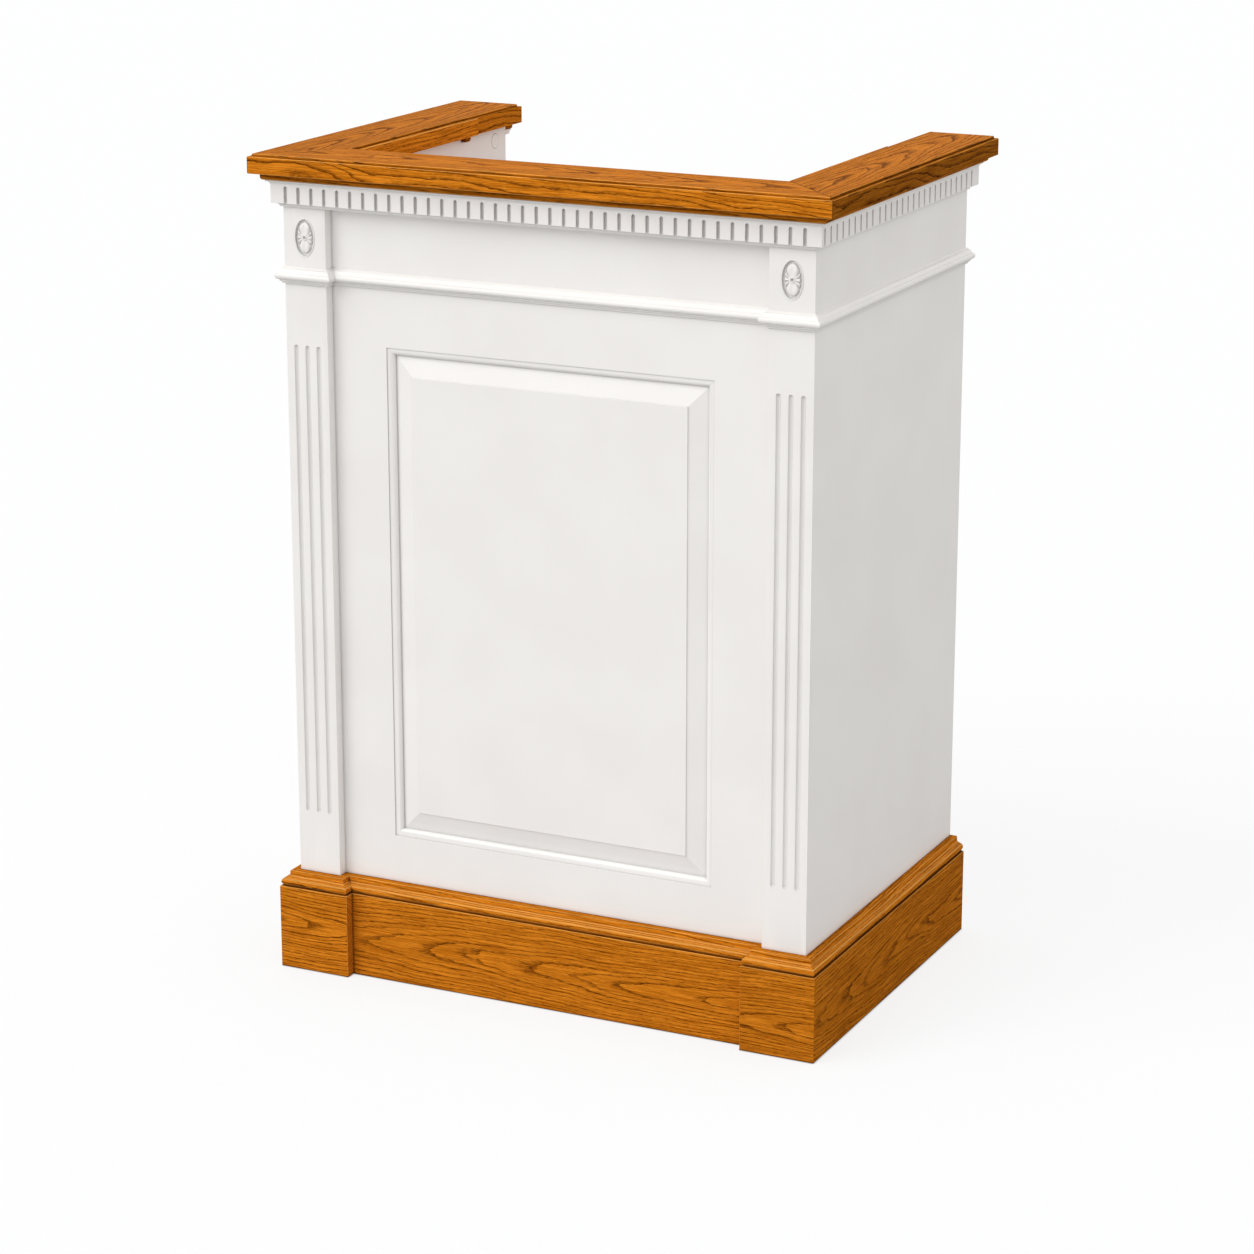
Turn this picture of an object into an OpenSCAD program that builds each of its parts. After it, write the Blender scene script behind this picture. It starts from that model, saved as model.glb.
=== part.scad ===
// Pulpit with a three-sided oak cap, white painted walls, fluted pilasters and an oak base.
// Millimetres, +Z up, front towards -Y. The origin is on the floor, under the middle of the whole.

/* [Overall] */
// Height of the cap's top above the floor
total_h = 1168; // [1080:1:1260]
// Width across the outer side panels
body_w = 782; // [700:1:900]
// Depth from the pilasters' faces to the backs of the wings
body_d = 540; // [470:1:640]

/* [Walls] */
// Thickness of the outer side panels
side_t = 19; // [15:0.5:22]
// Depth of the hollow between the outer and inner panels of a wing
stud_t = 26; // [22:0.5:34]
// Thickness of the inner side panels
lining_t = 12; // [9:0.5:16]
// Thickness of the stiles and rails in the front wall
frame_t = 22; // [18:0.5:28]
// Thickness of the lining behind the front wall
front_lining_t = 19; // [12:0.5:22]
// Thickness of the board that closes the back of each wing
end_board_t = 19; // [12:0.5:25]
// Width of the upright posts and rails hidden in the wings
post_w = 38; // [25:1:50]
// Height of the middle rail hidden in the wings
wing_rail_z = 620; // [560:1:700]

/* [Cap] */
// Thickness of the oak cap
cap_t = 27; // [22:0.5:32]
// Overhang of the cap past the pilasters' faces
cap_over_front = 33; // [28:0.5:45]
// Overhang of the cap past the side panels
cap_over_side = 35; // [28:0.5:45]
// Overhang of the cap past the backs of the wings
cap_over_back = 26; // [24:0.5:40]
// Width of the cap's rails
cap_rail_w = 106; // [98:0.5:125]
// Depth of the small step worked round the cap's top edge
cap_step_h = 3.5; // [2:0.25:5]
// Width of that step
cap_step_w = 5; // [3:0.25:8]
// Thickness of the strip along the cap's inner edge
strip_t = 5; // [3:0.25:7]
// Length of the wing behind the strip's end
strip_short = 120; // [60:1:200]
// Height of the oak moulding under the cap
cove_h = 9; // [6:0.5:12]
// Projection of the oak moulding under the cap
cove_p = 22; // [20:0.5:24]
// Radius of that moulding's lower edge
cove_r = 4; // [2:0.25:5]
// Length of the small brackets under the inner strips
bracket_l = 18; // [14:1:50]
// Drop of the small brackets below the cap
bracket_h = 9; // [7:0.5:22]
// Thickness of the small brackets
bracket_t = 8; // [6:0.5:14]

/* [Cornice] */
// Projection of the cornice's top
crown_p = 17; // [15:0.25:18.5]
// Height of the crown above the dentil band
crown_h = 7; // [5.5:0.5:10]
// Projection of the dentil band
dentil_p = 12; // [10.5:0.25:13]
// Projection of the bed mould below the dentils
bed_p = 7.5; // [6.5:0.25:8.5]
// Height of the bed mould's hollow
bed_h = 4.5; // [4:0.25:7]
// Flat between the bed mould's hollow and the dentils
bed_flat = 1; // [0.5:0.25:6]
// Height of the dentil band
dentil_h = 24.5; // [18:0.5:26]
// Width of a slot between two dentils
slot_w = 5; // [4:0.25:7]
// Distance from slot to slot
slot_pitch = 20; // [16:0.5:26]
// Height left whole above the slots in the band
slot_stop = 1.25; // [1:0.25:6]
// How far the dentils stop short of the inner corner at each wing's back
return_stop = 25; // [18:1:40]
// Least width of the front's corner dentils
corner_dentil = 15; // [12:0.5:20]
// First slot's middle behind the cornice's corner on each side
side_slot_first = 11; // [8:0.5:14]
// Number of side slots in front of the wider dentil
side_slots_front = 9; // [4:1:14]
// Extra width of that wider dentil
side_joint_extra = 5; // [0:0.5:8]

/* [Belt] */
// Height of the plain frieze between cornice and belt
frieze_h = 82; // [70:1:100]
// Height of the belt moulding
belt_h = 23; // [21:0.5:30]
// Projection of the belt's nose
belt_p = 10.5; // [9.5:0.25:13]
// Radius of the belt's nose
belt_r = 5; // [3:0.25:5.5]
// Size of the hollow below the belt's nose
belt_hollow = 3.5; // [3:0.25:6]

/* [Pilasters] */
// Width of a pilaster
pilaster_w = 65; // [55:0.5:80]
// Thickness of a pilaster
pilaster_t = 16; // [14:0.5:22]
// Radius of a flute
flute_r = 3; // [2:0.25:4]
// Distance between flutes
flute_gap = 17.5; // [13:0.25:20]
// Plain length above the flutes, up to the belt
flute_top = 85; // [50:1:150]
// Plain length below the flutes, down to the base
flute_low = 89; // [50:1:150]
// Width of a rosette
rosette_w = 32; // [28:0.5:45]
// Height of a rosette
rosette_h = 53; // [44:0.5:64]
// Thickness of a rosette at its rim
rosette_t = 4; // [3:0.25:6]
// Depth that a rosette is let into its pilaster
rosette_in = 3; // [1.5:0.25:3]
// Width of a rosette's rim
rosette_rim_w = 1.8; // [1.5:0.1:3.5]
// Width of the channel inside that rim
rosette_channel_w = 3; // [2:0.25:4]
// Radius of the button in a rosette's middle
rosette_button_r = 4; // [3.5:0.25:6]

/* [Panel] */
// Width of a stile between the pilaster and the panel's moulding
stile_show = 82; // [60:0.5:110]
// Height of the top rail between the belt and the panel's moulding
rail_show = 80; // [50:0.5:120]
// Height of the bottom rail above the base
low_rail_show = 68; // [40:0.5:110]
// Width of the moulding round the panel
sticking_w = 11; // [9:0.5:15]
// Step down from the stile to that moulding
sticking_step = 1.5; // [0.5:0.25:2.5]
// Depth of the panel's edge behind the stiles
panel_sink = 9; // [7.5:0.25:11]
// Width of the panel's bevel
bevel_w = 27.5; // [20:0.5:45]
// Rise of the bevel
bevel_rise = 7; // [4:0.25:7]
// Small step at the raised field's edge
field_step = 1.5; // [0.5:0.25:2]
// Gap that lets the panel move in its rebate
panel_gap = 1; // [0.5:0.25:2]

/* [Base] */
// Height of the base boards
base_h = 122; // [100:1:150]
// Thickness of the base boards
base_t = 22; // [18:0.5:28]
// Height of the moulding on the base boards
base_cap_h = 21.5; // [20:0.25:28]
// Top fillet's distance behind the base boards' faces
base_cap_back = 11; // [9:0.5:13]
// Radius of the bead on the base moulding
bead_r = 5.5; // [4.5:0.25:6]

/* [Inside] */
// Thickness of the floor board
deck_t = 19; // [15:0.5:25]
// Height of the floor board's top
deck_z = 141; // [110:1:200]
// Distance of the floor board's edge in front of the wings' backs
deck_back = 20; // [5:1:60]
// Thickness of the shelf
shelf_t = 19; // [15:0.5:25]
// Height of the shelf's underside
shelf_z = 560; // [480:1:590]
// Depth of the shelf
shelf_d = 330; // [250:1:400]
// Gap at each end of the shelf
shelf_gap = 1; // [0.5:0.25:2]
// Thickness and width of the cleats under the floor board
cleat_w = 20; // [15:1:30]
// Height of those cleats
cleat_h = 30; // [20:1:45]
// Radius of the round plugs in the inner panels
plug_r = 10.5; // [10:0.25:18]
// Thickness of those plugs
plug_t = 6; // [4:0.5:8]
// Plug's middle in front of the wing's back
plug_back = 33; // [30:1:60]
// Plug's middle below the cap's underside
plug_drop = 21; // [20:0.5:60]
// Gap round the plugs
plug_gap = 0.4; // [0.2:0.1:1]
// Radius of the shelf pins
pin_r = 2.5; // [2:0.25:3.5]
// Depth of the shelf pins in the wall
pin_deep = 8; // [6:0.5:8.5]

/* [Bookrest] */
// Slope of the reading board at rest, in degrees
rest_slope = 12; // [8:0.5:16]
// How far the reading board tilts up from there, in degrees
tilt_range = 14; // [6:0.5:15]
// Hinge pin below the cap's top
hinge_drop = 236; // [225:1:290]
// Hinge pin in front of the wings' backs
hinge_back = 67; // [45:1:110]
// Gap between the reading board's upper edge and the lining in front of it
board_front_gap = 40; // [25:1:90]
// Thickness of the reading board
board_t = 18; // [15:0.5:22]
// Gap between the reading board's ends and the walls
board_gap = 8; // [7:0.25:12]
// Height of the book stop above the reading board's face
stop_h = 20; // [12:0.5:26]
// Thickness of the book stop
stop_t = 14; // [10:0.5:20]
// Height of the rail that carries the hinge
hinge_rail_h = 70; // [50:1:110]
// Thickness of that rail
hinge_rail_t = 22; // [22:0.5:30]
// Radius of the hinge's knuckles
knuckle_r = 3; // [2.75:0.25:4]
// Radius of the hinge's pin
hinge_pin_r = 1.5; // [1:0.1:1.7]
// Thickness of the hinge's leaves
leaf_t = 1.5; // [1:0.1:2]
// Width of each leaf from the pin's middle
leaf_w = 21; // [18:0.5:22]
// Length of one knuckle
knuckle_l = 40; // [25:1:60]
// Number of knuckles, an odd number
knuckles = 15; // [9:2:15]
// Running gap between parts of the hinge
hinge_gap = 0.3; // [0.2:0.05:0.5]
// Radial clearance of the hinge's pin
pin_fit = 0.05; // [0.02:0.01:0.09]

/* [Stays] */
// Radius of the quadrant stays' slot about the hinge pin
stay_r = 190; // [150:1:230]
// Width of the quadrant plates
stay_w = 24; // [20:0.5:32]
// Thickness of the quadrant plates
stay_t = 2.5; // [2:0.25:4]
// Angle of the stud below the board at rest, in degrees
stud_angle = 12; // [10:0.5:16]
// Radius of the clamp studs
stud_r = 4; // [3:0.25:5]
// Clearance of the stud in the slot
stud_gap = 0.3; // [0.2:0.05:0.6]
// Radius of the clamp knobs
knob_r = 15; // [12:0.5:18]
// Thickness of the clamp knobs
knob_t = 16; // [12:0.5:20]
// Radius of the screws' shanks
screw_r = 1.75; // [1.25:0.05:2]
// Radius of the screws' heads
screw_head_r = 3.5; // [3:0.1:4]
// Length of the screws in the wood
screw_l = 12; // [8:0.5:14]
// Distance from screw to screw along the hinge
screw_pitch = 90; // [60:5:140]

/* [Hidden] */
$fn = 48;

// Colours
oak = [0.74, 0.45, 0.14];
oak_dark = [0.55, 0.31, 0.09];
white = [0.93, 0.93, 0.92];
brass = [0.80, 0.64, 0.30];

// Fits shared by several pieces
hole_gap = 0.05;
more = 1;

// Planes across the depth, from front to back
depth_all = cap_over_front + body_d + cap_over_back;
cap_front_y = -depth_all / 2;
face_y = cap_front_y + cap_over_front;
field_y = face_y + pilaster_t;
frame_back_y = field_y + frame_t;
inner_y = frame_back_y + front_lining_t;
back_y = face_y + body_d;
end_y = back_y - end_board_t;
cap_back_y = back_y + cap_over_back;

// Planes across the width, from the outside in
side_x = body_w / 2;
side_in_x = side_x - side_t;
lining_x = side_in_x - stud_t;
inner_x = lining_x - lining_t;
cap_x = side_x + cap_over_side;
cap_in_x = cap_x - cap_rail_w;
cap_in_y = cap_front_y + cap_rail_w;
pilaster_x = side_x - pilaster_w;
opening_x = pilaster_x - stile_show;

// Heights
cap_z = total_h - cap_t;
cove_z = cap_z - cove_h;
dentil_low = bed_h + bed_flat;
cornice_h = dentil_low + dentil_h + crown_h;
cornice_z = cove_z - cornice_h;
belt_top_z = cornice_z - frieze_h;
belt_z = belt_top_z - belt_h;
base_top_z = base_h + base_cap_h;
opening_low_z = base_top_z + low_rail_show;
opening_top_z = belt_z - rail_show;
frieze_joint_z = belt_z + belt_h / 2;
rosette_z = (belt_top_z + cornice_z) / 2;

// Bookrest
hinge_y = back_y - hinge_back;
hinge_z = total_h - hinge_drop;
board_x = inner_x - board_gap;
board_low = knuckle_r + hinge_gap;
board_reach = hinge_y - inner_y - board_front_gap + board_low * sin(rest_slope);
board_l = board_reach / cos(rest_slope);
rail_top_z = hinge_z - board_low;
rail_front_y = hinge_y - hinge_rail_t;
hinge_l = knuckle_l * knuckles;
plate_start = knuckle_r + hinge_gap;
screw_row = (plate_start + leaf_w) / 2 + more;
screw_reach = floor((hinge_l / 2 - screw_head_r) / screw_pitch) * screw_pitch;
screw_xs = [-screw_reach : screw_pitch : screw_reach];
stud_slope = rest_slope - stud_angle;
stud_y = hinge_y - stay_r * cos(stud_slope);
stud_z = hinge_z + stay_r * sin(stud_slope);
stay_past_slot = 5;
stay_low_angle = stud_angle + tilt_range + stay_past_slot;
stay_screw_out = 7;

// Points of an arc about (x, y), from angle a to angle b
function arc(x, y, r, a, b, n = 6) =
  [for (i = [0 : n]) [x + r * cos(a + (b - a) * i / n), y + r * sin(a + (b - a) * i / n)]];

// Mouldings are drawn as [projection from the wall, height above the lower edge]
cove_profile = concat(
  [[0, 0]],
  arc(cove_p - cove_r, cove_r, cove_r, -90, 0),
  [[cove_p, cove_h], [0, cove_h]]);

cornice_profile = concat(
  [[0, 0]],
  arc(bed_p, 0, bed_h, 180, 90, 5),
  [[bed_p, dentil_low], [dentil_p, dentil_low]],
  arc(crown_p, dentil_low + dentil_h, crown_p - dentil_p, 180, 90),
  [[crown_p, cornice_h], [0, cornice_h]]);

belt_foot = 2.5;
belt_quirk = 0.8;
belt_nose_x = belt_p - belt_r;
belt_nose_z = belt_hollow + belt_r + 2;
belt_nose_top = arc(belt_nose_x, belt_nose_z, belt_r, -85, 60, 10)[10];
belt_step_x = belt_nose_x - 1;
belt_step_z = (belt_nose_top[1] + belt_h) / 2 + 0.7;
// Above the nose it runs back to the wall in two slopes, each behind a small quirk
belt_profile = concat(
  [[0, 0], [belt_foot, 0]],
  arc(belt_foot + belt_hollow, 0, belt_hollow, 175, 90, 5),
  [[belt_nose_x, belt_hollow + 0.75]],
  arc(belt_nose_x, belt_nose_z, belt_r, -85, 60, 10),
  [[belt_nose_top[0] - belt_quirk, belt_nose_top[1] + 0.3],
   [belt_step_x, belt_step_z],
   [belt_step_x - belt_quirk, belt_step_z + 0.3],
   [1, belt_h - 0.75],
   [0, belt_h]]);

bead_x = base_t - 1.5 - bead_r;
bead_z = bead_r + 0.5;
base_hollow_r = 4.2;
base_fillet_x = base_t - base_cap_back;
base_cap_profile = concat(
  [[0, 0], [base_t - 4, 0]],
  arc(bead_x, bead_z, bead_r, -50, 82, 10),
  arc(base_fillet_x + base_hollow_r, bead_z + bead_r + base_hollow_r + 0.5, base_hollow_r, 270, 182, 5),
  [[base_fillet_x, base_cap_h - 1],
   [base_fillet_x - 1, base_cap_h],
   [0, base_cap_h]]);

board_profile = [[0, 0], [base_t, 0], [base_t, base_h - 1], [base_t - 1, base_h], [0, base_h]];

// Top of a profile
function top_of(profile) = max([for (p = profile) p[1]]);

// A straight length of moulding, cut to a plan. The wall's plane is at distance d from the middle,
// and turn is 0 where it faces the front, 90 the right, 180 the back and -90 the left.
module length_of(profile, turn, d, z, plan) {
  long = 2 * (body_w + body_d);
  intersection() {
    rotate([0, 0, turn]) translate([-long / 2, -d, z]) rotate([90, 0, 90])
      linear_extrude(long) polygon([for (p = profile) [-p[0], p[1]]]);
    translate([0, 0, z - more]) linear_extrude(top_of(profile) + 2 * more) polygon(plan);
  }
}

// The plans of the mitred lengths that go round the body. p is the projection.
function plan_front(p) =
  [[-side_x, face_y], [side_x, face_y], [side_x + p, face_y - p], [-side_x - p, face_y - p]];
function plan_side(p) =
  [[side_x, face_y], [side_x, back_y], [side_x + p, back_y + p], [side_x + p, face_y - p]];
function plan_side_square(p) =
  [[side_x, face_y], [side_x, back_y], [side_x + p, back_y], [side_x + p, face_y - p]];
function plan_end(p) =
  [[inner_x, back_y], [side_x, back_y], [side_x + p, back_y + p], [inner_x, back_y + p]];
function plan_field(p) = [
  [-pilaster_x, field_y], [pilaster_x, field_y],
  [pilaster_x - p, field_y - p], [-pilaster_x + p, field_y - p]];
function plan_pilaster(p) = [
  [pilaster_x, face_y], [side_x, face_y],
  [side_x + p, face_y - p], [pilaster_x - p, face_y - p]];
function plan_return(p) = [
  [pilaster_x, field_y], [pilaster_x, face_y],
  [pilaster_x - p, face_y - p], [pilaster_x - p, field_y - p]];

// The lengths themselves, on the right-hand side
module side_length(profile, z, p) length_of(profile, 90, side_x, z, plan_side(p));
module end_length(profile, z, p) length_of(profile, 180, back_y, z, plan_end(p));
module field_length(profile, z, p) length_of(profile, 0, -field_y, z, plan_field(p));
module pilaster_length(profile, z, p) length_of(profile, 0, -face_y, z, plan_pilaster(p));
module return_length(profile, z, p) length_of(profile, -90, -pilaster_x, z, plan_return(p));

// A box from its corners
module block(x0, x1, y0, y1, z0, z1) {
  translate([x0, y0, z0]) cube([x1 - x0, y1 - y0, z1 - z0]);
}

// The same thing on both sides
module both() {
  children();
  mirror([1, 0, 0]) children();
}

// Cap: three mitred oak rails, with a small step round the top
cap_step_z = total_h - cap_step_h;
module cap_rail(plan, top_plan) {
  color(oak) {
    translate([0, 0, cap_z]) linear_extrude(cap_step_z - cap_z) polygon(plan);
    translate([0, 0, cap_step_z - more]) linear_extrude(cap_step_h + more) polygon(top_plan);
  }
}
module cap_front() {
  s = cap_step_w;
  cap_rail(
    [[-cap_x, cap_front_y], [cap_x, cap_front_y], [cap_in_x, cap_in_y], [-cap_in_x, cap_in_y]],
    [[-cap_x + s, cap_front_y + s], [cap_x - s, cap_front_y + s],
     [cap_in_x + s, cap_in_y - s], [-cap_in_x - s, cap_in_y - s]]);
}
module cap_side() {
  s = cap_step_w;
  cap_rail(
    [[cap_x, cap_front_y], [cap_x, cap_back_y], [cap_in_x, cap_back_y], [cap_in_x, cap_in_y]],
    [[cap_x - s, cap_front_y + s], [cap_x - s, cap_back_y - s],
     [cap_in_x + s, cap_back_y - s], [cap_in_x + s, cap_in_y - s]]);
}
module cap_right() cap_side();
module cap_left() mirror([1, 0, 0]) cap_side();

// Strip along each wing's inner edge, with its top just under the cap's
module cap_strips() {
  r = strip_t / 2;
  z = cap_step_z + more;
  end = back_y - strip_short;
  color(oak) both()
    translate([0, end, 0]) rotate([90, 0, 0])
      linear_extrude(end - cap_in_y)
        polygon(concat(
          [[cap_in_x, cap_z], [cap_in_x, z]],
          arc(cap_in_x - strip_t + r, z - r, r, 90, 180),
          [[cap_in_x - strip_t, cap_z]]));
}

// Small shaped bracket on the inner wall, below the strip's rear end
module cap_brackets() {
  end = back_y - strip_short;
  half = bracket_h / 2;
  nib = 3;
  low_z = cap_z - bracket_h;
  color(oak_dark) both()
    translate([inner_x - bracket_t, 0, 0]) rotate([90, 0, 90]) linear_extrude(bracket_t)
      polygon(concat(
        [[end - bracket_l, cap_z], [end - bracket_l, low_z], [end - half - nib, low_z]],
        arc(end - half - nib, cap_z - half, half, -90, 0),
        arc(end, cap_z - half, nib, 180, 90),
        [[end, cap_z]]));
}

// Oak moulding between the cap and the cornice
module cap_cove_front() {
  color(oak_dark) length_of(cove_profile, 0, -face_y, cove_z, plan_front(cove_p));
}
module cap_cove_side() {
  color(oak_dark) {
    side_length(cove_profile, cove_z, cove_p);
    end_length(cove_profile, cove_z, cove_p);
  }
}
module cap_cove_right() cap_cove_side();
module cap_cove_left() mirror([1, 0, 0]) cap_cove_side();

// Cornice with its row of dentils
slot_low_z = cornice_z + dentil_low - more;
slot_top_z = cornice_z + dentil_low + dentil_h - slot_stop;
slot_half = slot_w / 2;
front_last = floor((side_x + dentil_p - corner_dentil - slot_w / 2) / slot_pitch);
side_first_y = face_y - dentil_p + side_slot_first;
side_run = back_y + dentil_p - 2 * slot_w - side_joint_extra - side_first_y;
side_last = floor(side_run / slot_pitch);
end_first_x = side_x + dentil_p - side_slot_first;
end_last = floor((end_first_x - inner_x - return_stop - slot_w) / slot_pitch);
crown_low_z = cornice_z + dentil_low + dentil_h;

// One slot, open below and round at the top, as its cutter leaves it. It runs forward from y = 0.
module slot() {
  rotate([90, 0, 0]) linear_extrude(dentil_p - bed_p + more)
    polygon(concat(
      [[-slot_half, slot_low_z], [slot_half, slot_low_z]],
      arc(0, slot_top_z - slot_half, slot_half, 0, 180, 8)));
}
module front_slots() {
  for (i = [-front_last : front_last])
    translate([i * slot_pitch, face_y - bed_p, 0]) slot();
}
module side_slots() {
  for (i = [0 : side_last]) {
    y = side_first_y + i * slot_pitch + (i < side_slots_front ? 0 : side_joint_extra);
    translate([side_x + bed_p, y, 0]) rotate([0, 0, 90]) slot();
  }
}
module end_slots() {
  for (i = [0 : end_last])
    translate([end_first_x - i * slot_pitch, back_y + bed_p, 0]) rotate([0, 0, 180]) slot();
}
module cornice_front() {
  color(white) difference() {
    length_of(cornice_profile, 0, -face_y, cornice_z, plan_front(crown_p));
    front_slots();
  }
}
module cornice_side() {
  color(white) {
    difference() {
      side_length(cornice_profile, cornice_z, crown_p);
      side_slots();
    }
    difference() {
      end_length(cornice_profile, cornice_z, crown_p);
      end_slots();
      block(inner_x - more, inner_x + return_stop, back_y - more, back_y + crown_p + more,
            cornice_z - more, crown_low_z);
    }
  }
}
module cornice_right() cornice_side();
module cornice_left() mirror([1, 0, 0]) cornice_side();

// Packing between the pilasters that brings the cornice forward of the frieze
module cornice_backer() {
  color(white) block(-pilaster_x, pilaster_x, face_y, field_y, cornice_z, cap_z);
}

// Belt moulding, broken round the pilasters
module belt_front() {
  color(white) field_length(belt_profile, belt_z, belt_p);
}
module belt_side() {
  color(white) {
    side_length(belt_profile, belt_z, belt_p);
    end_length(belt_profile, belt_z, belt_p);
  }
}
module belt_right() belt_side();
module belt_left() mirror([1, 0, 0]) belt_side();
module belt_over_pilasters() {
  color(white) both() {
    pilaster_length(belt_profile, belt_z, belt_p);
    return_length(belt_profile, belt_z, belt_p);
  }
}

// Fluted pilaster
module flute(z0, z1) {
  translate([0, 0, z0 + flute_r]) cylinder(r = flute_r, h = z1 - z0 - 2 * flute_r);
  translate([0, 0, z0 + flute_r]) sphere(r = flute_r);
  translate([0, 0, z1 - flute_r]) sphere(r = flute_r);
}
module pilaster() {
  middle = (pilaster_x + side_x) / 2;
  color(white) difference() {
    block(pilaster_x, side_x, face_y, field_y, 0, cap_z);
    for (i = [-1 : 1]) translate([middle + i * flute_gap, face_y, 0])
      flute(base_top_z + flute_low, belt_z - flute_top);
    translate([middle, face_y + rosette_in, rosette_z]) rotate([90, 0, 0])
      linear_extrude(rosette_in + more) polygon(rosette_outline);
  }
}
module pilaster_right() pilaster();
module pilaster_left() mirror([1, 0, 0]) pilaster();

// Carved oval rosette let into each pilaster, drawn as oval rings of points round its middle, from
// the back of its rim. The angles of one quarter
// run from the side to the top. They lie closer at the notches between the petals.
petal_half = 10;
fan_half = 3 * petal_half;
quarter_angles = [0, 6, 10, 14, 20, 26, 30, 36, 48, 62, 76, 86];
top_and_back = [for (i = [len(quarter_angles) - 1 : -1 : 1]) 180 - quarter_angles[i]];
half_angles = concat(quarter_angles, [90], top_and_back);
ring_angles = concat(half_angles, [for (a = half_angles) a + 180]);
// Angle from the nearer side, 0 to 90
function from_side(a) = min(abs(a % 180), 180 - abs(a % 180));
// Share of a petal's full height across it: three small petals at each side, and a pair above and
// below that meet in a soft fold
function across(b) =
  b <= petal_half ? 1 - pow(b / petal_half, 2) :
  b <= fan_half ? 1 - pow(b / petal_half - 2, 2) :
  b <= 48 ? sin((b - fan_half) * 5) :
  1 - 0.4 * pow((b - 48) / 42, 2);
rosette_outline = [for (a = ring_angles) [rosette_w / 2 * cos(a), rosette_h / 2 * sin(a)]];
// Rings from the rim to the middle: [half width, half height, crest, valley], the last two as
// shares of the rosette's thickness
function between(a, b, share) = a + (b - a) * share;
rosette_inset = rosette_rim_w + rosette_channel_w;
rosette_rings = concat(
  [for (p = [[0, 0], [0, rosette_in / rosette_t], [0.25, 0.95], [0.5, 1], [0.85, 0.9], [1, 0.15]])
    [rosette_w / 2 - p[0] * rosette_rim_w, rosette_h / 2 - p[0] * rosette_rim_w, p[1], p[1]]],
  [for (p = [[1, 0.15, 0.15], [0.92, 0.75, 0.15], [0.78, 1, 0.2], [0.58, 1, 0.35],
      [0.36, 0.9, 0.55], [0.15, 0.8, 0.7], [0, 0.8, 0.8]])
    [between(rosette_button_r, rosette_w / 2 - rosette_inset, p[0]),
     between(rosette_button_r, rosette_h / 2 - rosette_inset, p[0]), p[1], p[2]]],
  [for (p = [[0.85, 1.12], [0.62, 1.12], [0.45, 0.8], [0.2, 0.4]])
    [p[0] * rosette_button_r, p[0] * rosette_button_r, p[1], p[1]]]);
module rosette() {
  n = len(ring_angles);
  rings = len(rosette_rings);
  last = (rings - 1) * n;
  points = concat(
    [for (i = [rings - 1 : -1 : 0]) for (a = ring_angles)
      let (q = rosette_rings[i], high = between(q[3], q[2], across(from_side(a))))
      [q[0] * cos(a), -rosette_t * high, q[1] * sin(a)]],
    [[0, -rosette_t * rosette_rings[rings - 1][2], 0], [0, 0, 0]]);
  faces = concat(
    [for (j = [0 : n - 1]) [rings * n, (j + 1) % n, j]],
    [for (i = [0 : rings - 2]) for (j = [0 : n - 1])
      [i * n + j, i * n + (j + 1) % n, (i + 1) * n + j]],
    [for (i = [0 : rings - 2]) for (j = [0 : n - 1])
      [i * n + (j + 1) % n, (i + 1) * n + (j + 1) % n, (i + 1) * n + j]],
    [for (j = [0 : n - 1]) [rings * n + 1, last + j, last + (j + 1) % n]]);
  polyhedron(points, faces);
}
module rosettes() {
  color(white) both()
    translate([(pilaster_x + side_x) / 2, face_y + rosette_in, rosette_z]) rosette();
}

// Front wall: stiles and rails round the panel
module stile() {
  color(white) block(opening_x, side_in_x, field_y, frame_back_y, 0, cap_z);
}
module stile_right() stile();
module stile_left() mirror([1, 0, 0]) stile();
module rail(z0, z1) {
  color(white) block(-opening_x, opening_x, field_y, frame_back_y, z0, z1);
}
module bottom_rail() rail(0, opening_low_z);
module top_rail() rail(opening_top_z, frieze_joint_z);
module frieze_board() rail(frieze_joint_z, cap_z);

// Section through the raised panel from its middle to its edge: [distance, depth behind the stiles]
function panel_half(edge) = let (show = edge + panel_gap - sticking_w) [
  [show - bevel_w, panel_sink - bevel_rise - field_step],
  [show - bevel_w, panel_sink - bevel_rise],
  [show, panel_sink],
  [edge, panel_sink],
  [edge, frame_t]];
function panel_section(edge) = concat(
  panel_half(edge),
  [for (i = [4 : -1 : 0]) [-panel_half(edge)[i][0], panel_half(edge)[i][1]]]);
module raised_panel() {
  half_w = opening_x - panel_gap;
  half_h = (opening_top_z - opening_low_z) / 2 - panel_gap;
  middle_z = (opening_top_z + opening_low_z) / 2;
  color(white) translate([0, field_y, middle_z]) intersection() {
    translate([0, 0, -half_h]) linear_extrude(2 * half_h) polygon(panel_section(half_w));
    translate([-half_w, 0, 0]) rotate([90, 0, 90]) linear_extrude(2 * half_w)
      polygon([for (p = panel_section(half_h)) [p[1], p[0]]]);
  }
}

// Moulding round the panel: [distance from the opening's edge, depth behind the stiles]
sticking_flat = 2.5;
sticking_nib = 0.5;
ovolo_r = sticking_w - sticking_flat - sticking_nib;
sticking_drop = (panel_sink - sticking_step) / ovolo_r;
sticking_profile = concat(
  [[0, sticking_step]],
  [for (p = arc(sticking_flat, 0, ovolo_r, 90, 12))
    [p[0], sticking_step + (ovolo_r - p[1]) * sticking_drop]],
  [[sticking_w - sticking_nib, panel_sink], [0, panel_sink]]);
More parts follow.
